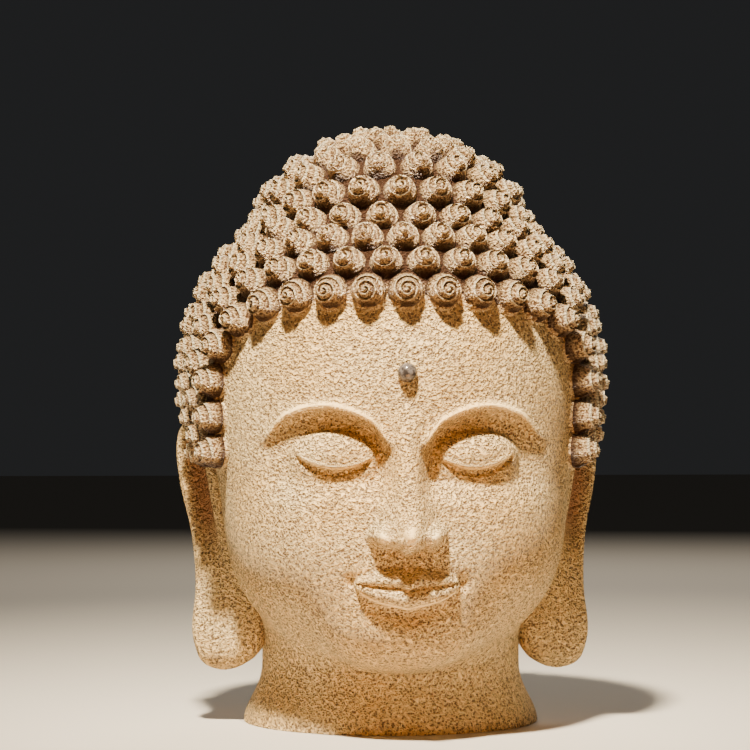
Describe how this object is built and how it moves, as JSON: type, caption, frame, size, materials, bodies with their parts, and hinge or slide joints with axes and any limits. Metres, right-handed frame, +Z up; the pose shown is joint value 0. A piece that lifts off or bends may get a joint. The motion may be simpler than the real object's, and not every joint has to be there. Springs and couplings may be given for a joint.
{
  "type": "stone buddha head",
  "caption": "Carved stone head of a calm figure with snail curls, a domed crown, long ear lobes and a flat-cut neck foot.",
  "frame": {"origin": "middle of the flat underside of the neck foot", "axes": "+Z up through the crown, the face looks along -Y, +X towards the viewer's right when facing it"},
  "size_m": [0.3274, 0.3645, 0.45],
  "materials": {
    "sandstone": "matt, pitted",
    "bead": "polished"
  },
  "bodies": {
    "root": {"head": "sandstone", "urna": "bead"}
  },
  "joints": []
}
